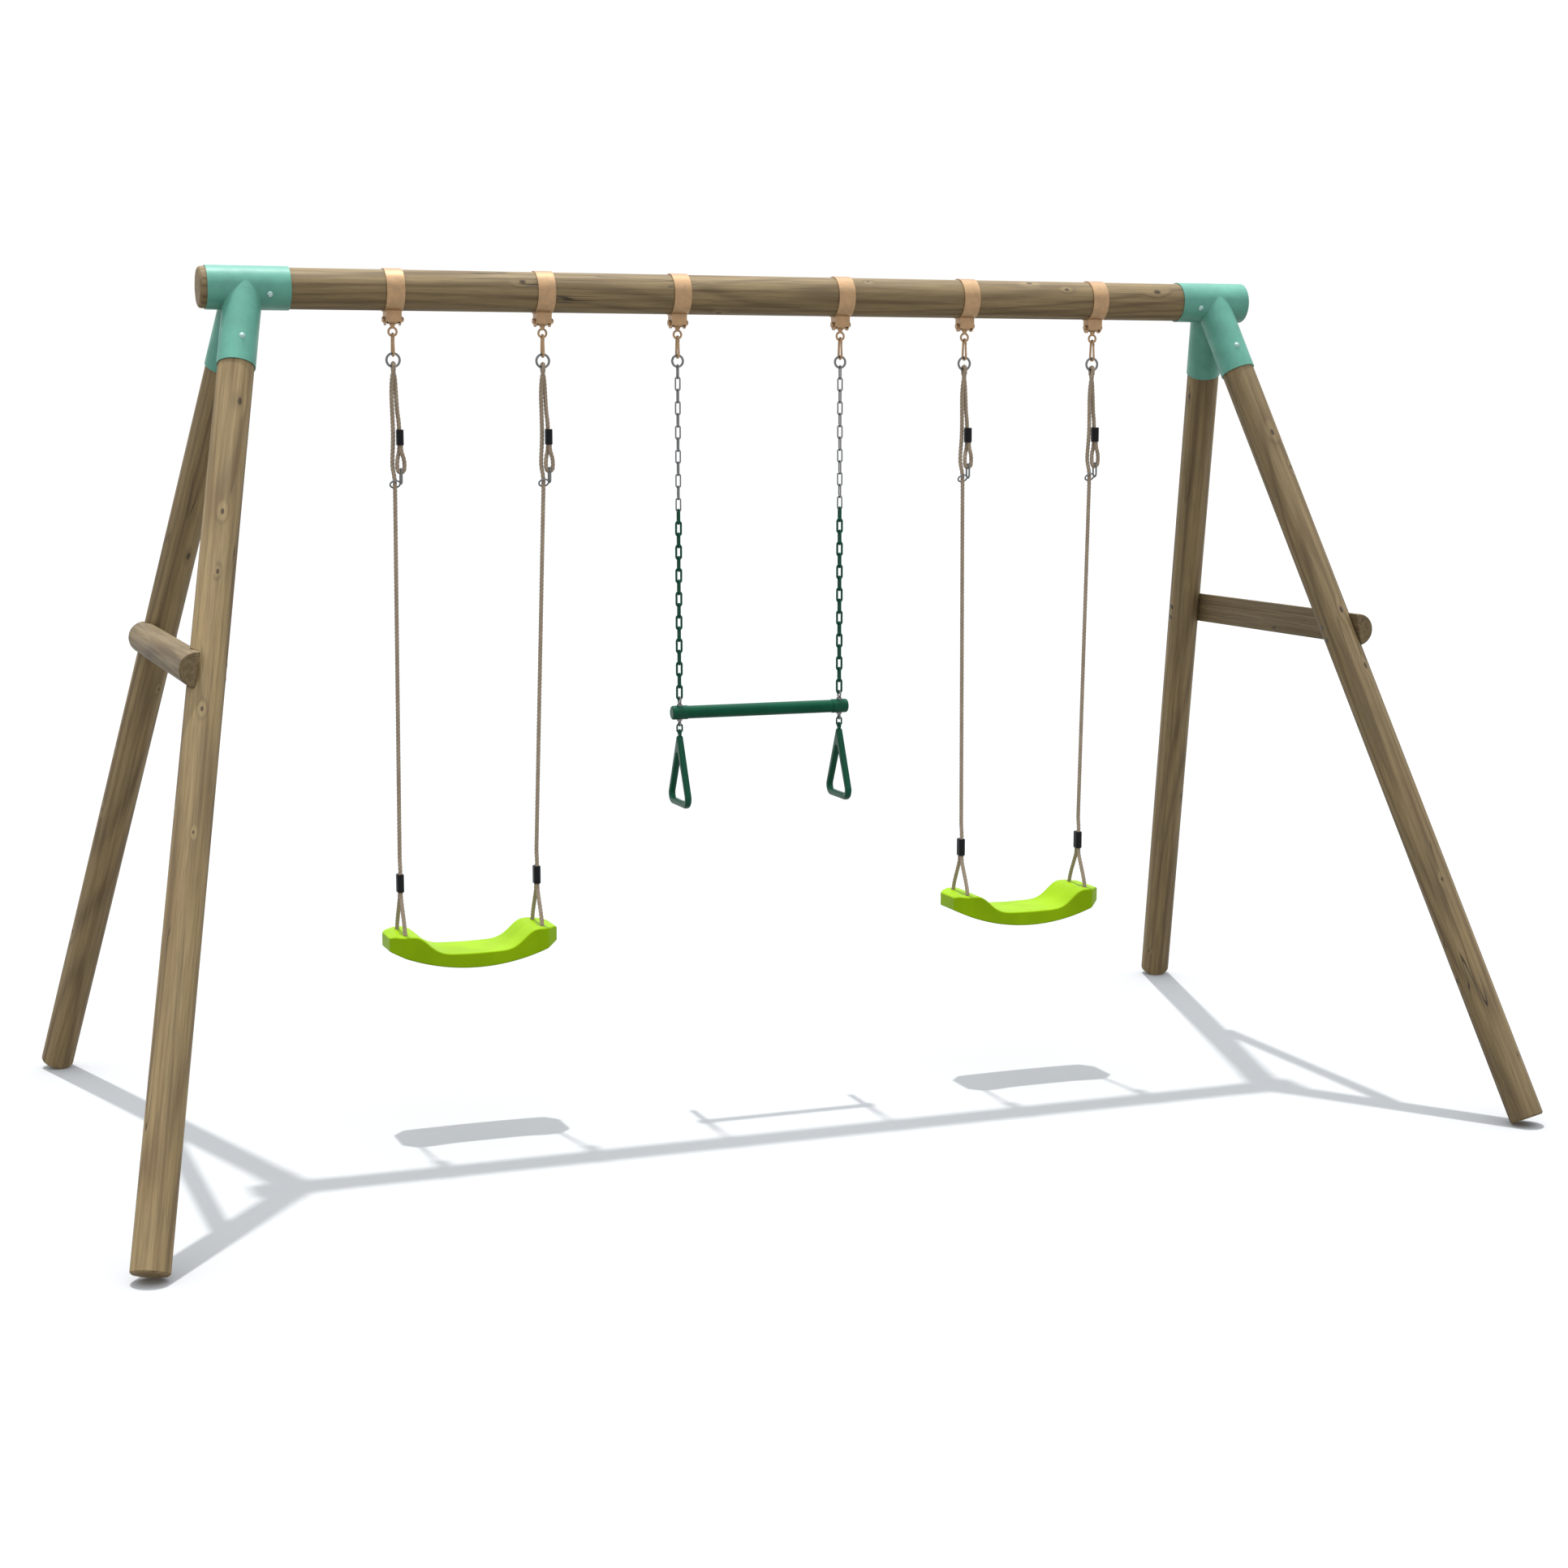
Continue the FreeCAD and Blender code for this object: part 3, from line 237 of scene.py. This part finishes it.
class Kit:
    """Short names for building a node tree."""

    def __init__(self, name):
        self.mat = bpy.data.materials.new(name)
        self.mat.use_nodes = True
        self.tree = self.mat.node_tree
        self.tree.nodes.clear()
        self.out = self.add("ShaderNodeOutputMaterial")
        self.shader = self.add("ShaderNodeBsdfPrincipled")
        self.link(self.shader.outputs[0], self.out.inputs[0])
        self.coord = self.add("ShaderNodeTexCoord").outputs["Object"]

    def add(self, kind, **settings):
        node = self.tree.nodes.new(kind)
        for key, value in settings.items():
            setattr(node, key, value)
        return node

    def link(self, a, b):
        self.tree.links.new(a, b)

    def put(self, socket, value):
        if isinstance(value, bpy.types.NodeSocket):
            self.link(value, socket)
        elif isinstance(value, tuple) and socket.type == "RGBA" and len(value) == 3:
            socket.default_value = (*value, 1.0)
        else:
            socket.default_value = value

    def math(self, op, *values):
        node = self.add("ShaderNodeMath", operation=op)
        for socket, value in zip(node.inputs, values):
            self.put(socket, value)
        return node.outputs[0]

    def vec(self, op, a, b=None, scale=None):
        node = self.add("ShaderNodeVectorMath", operation=op)
        self.put(node.inputs[0], a)
        if b is not None:
            self.put(node.inputs[1], b)
        if scale is not None:
            self.put(node.inputs["Scale"], scale)
        return node.outputs["Value" if op in ("LENGTH", "DOT_PRODUCT") else "Vector"]

    def split(self, vector):
        node = self.add("ShaderNodeSeparateXYZ")
        self.put(node.inputs[0], vector)
        return node.outputs

    def join(self, x, y, z):
        node = self.add("ShaderNodeCombineXYZ")
        for socket, value in zip(node.inputs, (x, y, z)):
            self.put(socket, value)
        return node.outputs[0]

    def noise(self, vector, scale, detail, roughness=0.5, colour=False):
        node = self.add("ShaderNodeTexNoise")
        self.put(node.inputs["Vector"], vector)
        self.put(node.inputs["Scale"], scale)
        self.put(node.inputs["Detail"], detail)
        self.put(node.inputs["Roughness"], roughness)
        return node.outputs[1 if colour else 0]

    def remap(self, value, low, high, to_low=0.0, to_high=1.0):
        node = self.add("ShaderNodeMapRange", interpolation_type="SMOOTHSTEP")
        for socket, number in zip(node.inputs[:5], (value, low, high, to_low, to_high)):
            self.put(socket, number)
        return node.outputs[0]

    def mix(self, factor, a, b, blend="MIX"):
        node = self.add("ShaderNodeMix", data_type="RGBA", blend_type=blend)
        self.put(node.inputs[0], factor)
        self.put(node.inputs[6], a)
        self.put(node.inputs[7], b)
        return node.outputs[2]

    def bump(self, height, strength, distance, normal=None):
        node = self.add("ShaderNodeBump")
        self.put(node.inputs["Strength"], strength)
        self.put(node.inputs["Distance"], distance)
        self.put(node.inputs["Height"], height)
        if normal is not None:
            self.put(node.inputs["Normal"], normal)
        return node.outputs[0]

    def bevel(self, radius):
        node = self.add("ShaderNodeBevel", samples=4)
        self.put(node.inputs["Radius"], radius)
        return node.outputs[0]

    def edge(self, radius):
        """1 along sharp edges, 0 elsewhere."""
        geometry = self.add("ShaderNodeNewGeometry")
        same = self.vec("DOT_PRODUCT", self.bevel(radius), geometry.outputs["Normal"])
        return self.remap(self.math("SUBTRACT", 1.0, same), 0.02, 0.25)

    def finish(self, **sockets):
        for key, value in sockets.items():
            self.put(self.shader.inputs[key.replace("_", " ")], value)
        return self.mat


# ---------------------------------------------------------------- timber

UNROLL_RADIUS = 0.0465  # between a leg's radius and the beam's
RING_WIDTH = 0.0062
PITH_DRIFT = 0.11
RING_RIPPLE = 0.0060
KNOT_CELLS = 10.5  # the scale of the cells, with at most one knot in each
KNOT_CHANCE = 0.66  # above this a cell has its knot
KNOT_SMALL, KNOT_SPREAD = 0.022, 0.038  # a knot's least radius, and how much more it can have
PALE_WOOD = (0.335, 0.232, 0.106), (0.262, 0.190, 0.088)  # the blotches mix each pair
DEEP_WOOD = (0.170, 0.105, 0.046), (0.135, 0.092, 0.044)
FIBRE_WOOD = (0.088, 0.066, 0.032)
HALO_WOOD = (0.300, 0.225, 0.115)
KNOT_WOOD = (0.045, 0.026, 0.012)
CRACK_WOOD = (0.018, 0.012, 0.007)


def timber(name, origin, axis, seed, tone):
    """Round pressure-treated softwood: rings round a pith that wanders along the pole."""
    kit = Kit(name)
    mapping = kit.add("ShaderNodeMapping", vector_type="TEXTURE")
    kit.put(mapping.inputs["Vector"], kit.coord)
    mapping.inputs["Location"].default_value = origin
    mapping.inputs["Rotation"].default_value = Vector(axis).to_track_quat("Z", "Y").to_euler()
    pole = mapping.outputs[0]
    x, y, z = kit.split(pole)
    along = kit.math("ADD", z, seed * 3.7)

    # knots, scattered over the unrolled surface
    around = kit.math("MULTIPLY", kit.math("ARCTAN2", y, x), UNROLL_RADIUS)
    sheet = kit.join(kit.math("ADD", around, seed * 1.3), along, 0.0)
    cells = kit.add("ShaderNodeTexVoronoi", voronoi_dimensions="2D", feature="F1")
    kit.put(cells.inputs["Vector"], kit.vec("MULTIPLY", sheet, (1.0, 0.55, 1.0)))
    kit.put(cells.inputs["Scale"], KNOT_CELLS)
    chance, size, _ = kit.split(cells.outputs["Color"])
    knot_r = kit.math("MULTIPLY_ADD", size, KNOT_SPREAD, KNOT_SMALL)
    knot_r = kit.math("MULTIPLY", knot_r, kit.math("GREATER_THAN", chance, KNOT_CHANCE))
    near = kit.math("DIVIDE", cells.outputs["Distance"], kit.math("MAXIMUM", knot_r, 0.001))
    knot = kit.remap(near, 1.25, 0.7)
    halo = kit.remap(near, 5.0, 0.8)

    # growth rings
    drift = kit.noise(kit.join(0.0, 0.0, along), 0.35, 1.0, colour=True)
    drift = kit.vec("SCALE", kit.vec("SUBTRACT", drift, (0.5, 0.5, 0.5)), scale=PITH_DRIFT)
    centred = kit.vec("ADD", kit.join(x, y, 0.0), kit.vec("MULTIPLY", drift, (1.0, 1.0, 0.0)))
    ripple = kit.noise(kit.vec("MULTIPLY", pole, (14.0, 14.0, 1.1)), 1.0, 3.0)
    ripple = kit.math("MULTIPLY", kit.math("SUBTRACT", ripple, 0.5), RING_RIPPLE)
    radius = kit.math("ADD", kit.vec("LENGTH", centred), ripple)
    radius = kit.math("MULTIPLY_ADD", halo, 0.0035, radius)
    spread = kit.noise(kit.join(radius, seed, 0.0), 130.0, 1.0)
    turns = kit.math("MULTIPLY", radius, 2 * math.pi / RING_WIDTH)
    phase = kit.math("ADD", turns, kit.math("MULTIPLY", spread, 4.0))
    ring = kit.math("MULTIPLY_ADD", kit.math("SINE", phase), 0.5, 0.5)
    late = kit.math("POWER", ring, 2.2)

    # fibres, streaks, blotches and drying checks
    fibre = kit.noise(kit.vec("MULTIPLY", pole, (420.0, 420.0, 11.0)), 1.0, 3.0, 0.6)
    streak = kit.noise(kit.vec("MULTIPLY", pole, (85.0, 85.0, 2.0)), 1.0, 3.0, 0.55)
    blotch = kit.noise(kit.vec("ADD", pole, (seed, seed, seed)), 5.0, 3.0)
    crack_field = kit.noise(kit.vec("MULTIPLY", pole, (34.0, 34.0, 1.5)), 1.0, 1.5)
    crack = kit.remap(kit.math("ABSOLUTE", kit.math("SUBTRACT", crack_field, 0.5)), 0.0085, 0.0025)
    crack_patch = kit.noise(kit.vec("MULTIPLY", pole, (11.0, 11.0, 3.0)), 1.0, 1.0)
    crack = kit.math("MULTIPLY", crack, kit.remap(crack_patch, 0.60, 0.68))

    # colour, from the palest layer to the darkest, and then the pole's own tone
    pale = kit.mix(blotch, *PALE_WOOD)
    deep = kit.mix(blotch, *DEEP_WOOD)
    late_share = kit.math("MULTIPLY", late, 0.55)
    depth = kit.math("ADD", late_share, kit.remap(streak, 0.35, 0.72, 0.0, 0.6))
    wood = kit.mix(kit.math("MINIMUM", depth, 1.0), pale, deep)
    wood = kit.mix(kit.remap(fibre, 0.40, 0.76, 0.0, 0.52), wood, FIBRE_WOOD)
    wood = kit.mix(kit.math("MULTIPLY", halo, 0.14), wood, HALO_WOOD)
    wood = kit.mix(kit.math("MULTIPLY", knot, 0.90), wood, KNOT_WOOD)
    wood = kit.mix(kit.math("MULTIPLY", crack, 0.85), wood, CRACK_WOOD)
    wood = kit.mix(1.0, wood, (tone, tone, tone), "MULTIPLY")

    height = kit.math("MULTIPLY_ADD", fibre, 0.6, kit.math("MULTIPLY", late, 0.45))
    height = kit.math("SUBTRACT", height, kit.math("MULTIPLY", crack, 1.6))
    height = kit.math("MULTIPLY_ADD", knot, 0.7, height)
    rough = kit.remap(streak, 0.3, 0.7, 0.58, 0.74)
    return kit.finish(
        Base_Color=wood,
        Roughness=rough,
        Specular_IOR_Level=0.35,
        Normal=kit.bump(height, 0.55, 0.0007, kit.bevel(0.0025)),
    )


# ---------------------------------------------------------------- metals, plastics and rope


def lighter(colour, factor, lift=0.0):
    return tuple(min(1.0, c * factor + lift) for c in colour)


def painted(name, colour, rough, worn, wear=0.6, spec=0.4):
    """Powder coat over steel: a fine orange-peel skin that thins along its edges."""
    kit = Kit(name)
    peel = kit.noise(kit.coord, 900.0, 2.0)
    cloud = kit.noise(kit.coord, 14.0, 4.0, 0.6)
    dark = tuple(c * 0.80 for c in colour)
    base = kit.mix(kit.remap(cloud, 0.3, 0.7), colour, dark)
    speck = kit.remap(kit.noise(kit.coord, 420.0, 1.0), 0.70, 0.74)
    base = kit.mix(kit.math("MULTIPLY", speck, 0.35), base, lighter(colour, 1.6, 0.02))
    edge = kit.edge(0.0016)
    chips = kit.remap(kit.noise(kit.coord, 160.0, 3.0), 0.40, 0.55)
    edge = kit.math("MULTIPLY", edge, kit.math("MULTIPLY_ADD", chips, 0.6, 0.4))
    base = kit.mix(kit.math("MULTIPLY", edge, wear), base, worn)
    return kit.finish(
        Base_Color=base,
        Roughness=kit.remap(cloud, 0.3, 0.7, rough, rough + 0.12),
        Specular_IOR_Level=spec,
        Normal=kit.bump(peel, 0.12, 0.0003, kit.bevel(0.0008)),
    )


def plated(name, colour, rough, metallic, tint=(0.75, 0.85, 0.9), grime=(0.05, 0.045, 0.04)):
    """Plated steel: cloudy passivation, fine drawn scratches, spots of dirt scattered over it."""
    kit = Kit(name)
    cloud = kit.noise(kit.coord, 60.0, 4.0, 0.6)
    scratch = kit.noise(kit.vec("MULTIPLY", kit.coord, (900.0, 900.0, 60.0)), 1.0, 2.0)
    base = kit.mix(kit.remap(cloud, 0.35, 0.75), colour, tuple(c * t for c, t in zip(colour, tint)))
    spots = kit.remap(kit.noise(kit.coord, 210.0, 3.0, 0.7), 0.62, 0.80)
    base = kit.mix(kit.math("MULTIPLY", spots, 0.5), base, grime)
    edge = kit.edge(0.0008)
    base = kit.mix(kit.math("MULTIPLY", edge, 0.5), base, lighter(colour, 1.35))
    return kit.finish(
        Base_Color=base,
        Metallic=metallic,
        Roughness=kit.math("MULTIPLY_ADD", cloud, 0.22, rough - 0.08),
        Normal=kit.bump(scratch, 0.10, 0.0002, kit.bevel(0.0005)),
    )


def moulded(name, colour, rough, grain=1400.0, strength=0.35, spec=0.15):
    """Moulded plastic: a fine eroded grain, slight fading and scuffs on the edges."""
    kit = Kit(name)
    skin = kit.noise(kit.coord, grain, 2.0)
    cloud = kit.noise(kit.coord, 9.0, 3.0)
    base = kit.mix(kit.remap(cloud, 0.3, 0.7), colour, tuple(c * 0.85 for c in colour))
    rubbed = kit.noise(kit.vec("MULTIPLY", kit.coord, (220.0, 60.0, 90.0)), 1.0, 4.0, 0.7)
    scuff = kit.remap(rubbed, 0.66, 0.80)
    edge = kit.math("MULTIPLY", kit.edge(0.003), kit.remap(cloud, 0.35, 0.65, 0.3, 1.0))
    marks = kit.math("MAXIMUM", kit.math("MULTIPLY", scuff, 0.18), kit.math("MULTIPLY", edge, 0.25))
    base = kit.mix(marks, base, lighter(colour, 1.25, 0.015))
    return kit.finish(
        Base_Color=base,
        Roughness=kit.math("MULTIPLY_ADD", scuff, 0.18, rough),
        Specular_IOR_Level=spec,
        Normal=kit.bump(skin, strength, 0.00025, kit.bevel(0.0012)),
    )


YARNS = 16  # in one lay length


def rope_fibre(name):
    """Laid rope: fine yarns across each strand, painted shade in the grooves between the strands,
    pale broken fibres.
    """
    kit = Kit(name)
    uv = kit.add("ShaderNodeTexCoord").outputs["UV"]
    u, v, _ = kit.split(uv)
    lay = kit.math("SUBTRACT", v, u)
    groove = kit.math("ABSOLUTE", kit.math("COSINE", kit.math("MULTIPLY", lay, math.pi * STRANDS)))
    across = kit.math("ADD", u, kit.math("MULTIPLY", v, 0.35))
    yarn = kit.math("SINE", kit.math("MULTIPLY", across, 2 * math.pi * YARNS))
    fuzz = kit.noise(kit.vec("MULTIPLY", kit.coord, (1300.0, 1300.0, 420.0)), 1.0, 3.0, 0.65)
    cloud = kit.noise(kit.coord, 26.0, 3.0)
    tone = kit.mix(kit.remap(cloud, 0.3, 0.7), (0.400, 0.310, 0.222), (0.320, 0.245, 0.172))
    tone = kit.mix(kit.remap(fuzz, 0.45, 0.75, 0.0, 0.55), tone, (0.500, 0.410, 0.310))
    tone = kit.mix(kit.remap(yarn, -1.0, 1.0, 0.26, 0.0), tone, (0.160, 0.115, 0.075))
    # painted shade: darker in the grooves between the strands, where the lobes dip
    tone = kit.mix(kit.remap(groove, 0.40, 0.0, 0.0, 0.70), tone, (0.100, 0.070, 0.045))
    height = kit.math("MULTIPLY_ADD", yarn, 0.35, fuzz)
    return kit.finish(
        Base_Color=tone,
        Roughness=0.82,
        Specular_IOR_Level=0.25,
        Sheen_Weight=0.15,
        Normal=kit.bump(height, 0.8, 0.0005),
    )


# ---------------------------------------------------------------- materials on the CAD nodes


def middle(node):
    low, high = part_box(node)
    return tuple((a + b) / 2 for a, b in zip(low, high))


def cover(node, material):
    slots = NODES[node].data.materials
    slots.clear()
    slots.append(material)


TEAL = painted("teal_steel", (0.096, 0.312, 0.232), 0.36, (0.42, 0.40, 0.28))
BRONZE = plated(
    "bronze_steel",
    (0.42, 0.255, 0.130),
    0.38,
    0.6,
    tint=(0.8, 0.85, 0.9),
    grime=(0.12, 0.07, 0.035),
)
BROWN = painted("brown_steel", (0.060, 0.044, 0.028), 0.45, (0.10, 0.075, 0.05))
ZINC = plated("zinc_steel", (0.185, 0.178, 0.170), 0.34, 1.0)
SCREW = plated("screw_steel", (0.36, 0.50, 0.46), 0.36, 0.4)
BLACK = moulded("black_plastic", (0.005, 0.005, 0.006), 0.45)
LIME = moulded("lime_plastic", (0.240, 0.405, 0.0), 0.46, grain=1600.0, strength=0.25, spec=0.08)
GREEN_COAT = moulded("green_coating", (0.0, 0.060, 0.028), 0.32, grain=500.0, strength=0.15)
GREEN_PAINT = painted(
    "green_paint", (0.0, 0.066, 0.030), 0.34, (0.01, 0.11, 0.06), wear=0.3, spec=0.12
)
GREEN_PLASTIC = moulded("green_plastic", (0.0, 0.062, 0.029), 0.32, grain=900.0, strength=0.2)

BY_SLOT = {
    "teal_steel": TEAL,
    "bronze_steel": BRONZE,
    "brown_steel": BROWN,
    "zinc_steel": ZINC,
    "screw_steel": SCREW,
    "black_plastic": BLACK,
    "lime_plastic": LIME,
    "green_coating": GREEN_COAT,
    "green_paint": GREEN_PAINT,
    "green_plastic": GREEN_PLASTIC,
}

for part in RECORD["subparts"]:
    if part["material_slot"] in BY_SLOT:
        cover(part["node"], BY_SLOT[part["material_slot"]])

# each pole's shade of the same brown: its colour is multiplied by this
# the beam's lower tone is partly its own brown and partly painted shade, for its front facing away
# from the sun
BEAM_TONE_AND_SHADE = 0.80
LEG_TONE = {"front_left": 0.97, "front_right": 0.74, "rear_left": 0.86, "rear_right": 0.86}
BRACE_TONE = 0.60
FEET = {mount["name"]: mount for mount in RECORD["mounts"]}

cover("top_beam", timber("timber_beam", middle("top_beam"), (1, 0, 0), 1.0, BEAM_TONE_AND_SHADE))
seed = 2.0
for row in ("front", "rear"):
    for end in ("left", "right"):
        foot = FEET[row + "_" + end + "_foot"]
        tone = LEG_TONE[row + "_" + end]
        node = row + "_leg_" + end
        cover(node, timber("timber_" + node, foot["pos_m"], foot["axis"], seed, tone))
        seed += 1.0
for end, inner in (("left", 1), ("right", 0)):
    node = "cross_brace_" + end
    _, y, z = middle(node)
    pith = (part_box(node)[inner][0], y, z)  # a split pole has its pith in its flat face
    cover(node, timber("timber_" + node, pith, (0, 1, 0), seed, BRACE_TONE))
    seed += 1.0

ROPE = rope_fibre("rope_fibre")
for piece in rope_pieces:
    piece.data.materials.append(ROPE)

# ---------------------------------------------------------------- stage and light

FLOOR_SIZE = 240.0
FLOOR_GREY = (0.42, 0.42, 0.42)
floor_mesh = bpy.data.meshes.new("floor")
half = FLOOR_SIZE / 2
corners = [(-half, -half, 0), (half, -half, 0), (half, half, 0), (-half, half, 0)]
floor_mesh.from_pydata(corners, [], [(0, 1, 2, 3)])
floor = bpy.data.objects.new("floor", floor_mesh)
bpy.context.scene.collection.objects.link(floor)
floor_kit = Kit("floor")
floor_mesh.materials.append(
    floor_kit.finish(Base_Color=FLOOR_GREY, Roughness=1.0, Specular_IOR_Level=0.0)
)
floor.visible_diffuse = False  # the world below the horizon stands in for the floor's bounce

SUN_POWER = 3.4
SUN_SIZE = 1.2  # degrees
TO_SUN = (0.0, 0.19, 0.98)
sun_data = bpy.data.lights.new("sun", "SUN")
sun_data.energy = SUN_POWER
sun_data.angle = math.radians(SUN_SIZE)
sun = bpy.data.objects.new("sun", sun_data)
sun.rotation_euler = Vector(TO_SUN).to_track_quat("Z", "Y").to_euler()
bpy.context.scene.collection.objects.link(sun)

# the world's light by height: 0 is straight down, 0.5 the horizon and 1 straight up
SKY = (
    (0.440, (0.46, 0.45, 0.44)),
    (0.465, (1.02, 1.02, 1.02)),
    (0.580, (1.02, 1.02, 1.02)),
    (0.610, (0.74, 0.76, 0.78)),
    (0.750, (0.95, 1.00, 1.05)),
    (0.900, (1.95, 2.05, 2.15)),
)
world = bpy.data.worlds.new("studio")
bpy.context.scene.world = world
world.use_nodes = True
sky = world.node_tree
background = sky.nodes["Background"]
direction = sky.nodes.new("ShaderNodeTexCoord")
parts = sky.nodes.new("ShaderNodeSeparateXYZ")
sky.links.new(direction.outputs["Generated"], parts.inputs[0])
height = sky.nodes.new("ShaderNodeMath")
height.operation = "MULTIPLY_ADD"
height.inputs[1].default_value = 0.5
height.inputs[2].default_value = 0.5
sky.links.new(parts.outputs[2], height.inputs[0])
ramp = sky.nodes.new("ShaderNodeValToRGB")
while len(ramp.color_ramp.elements) < len(SKY):
    ramp.color_ramp.elements.new(0.5)
for stop, (place, colour) in zip(ramp.color_ramp.elements, SKY):
    stop.position = place
    stop.color = (*colour, 1.0)
sky.links.new(height.outputs[0], ramp.inputs[0])
sky.links.new(ramp.outputs[0], background.inputs[0])

view = bpy.context.scene.view_settings
view.view_transform = "Standard"
view.look = "None"
view.exposure = 0.0
view.gamma = 1.0
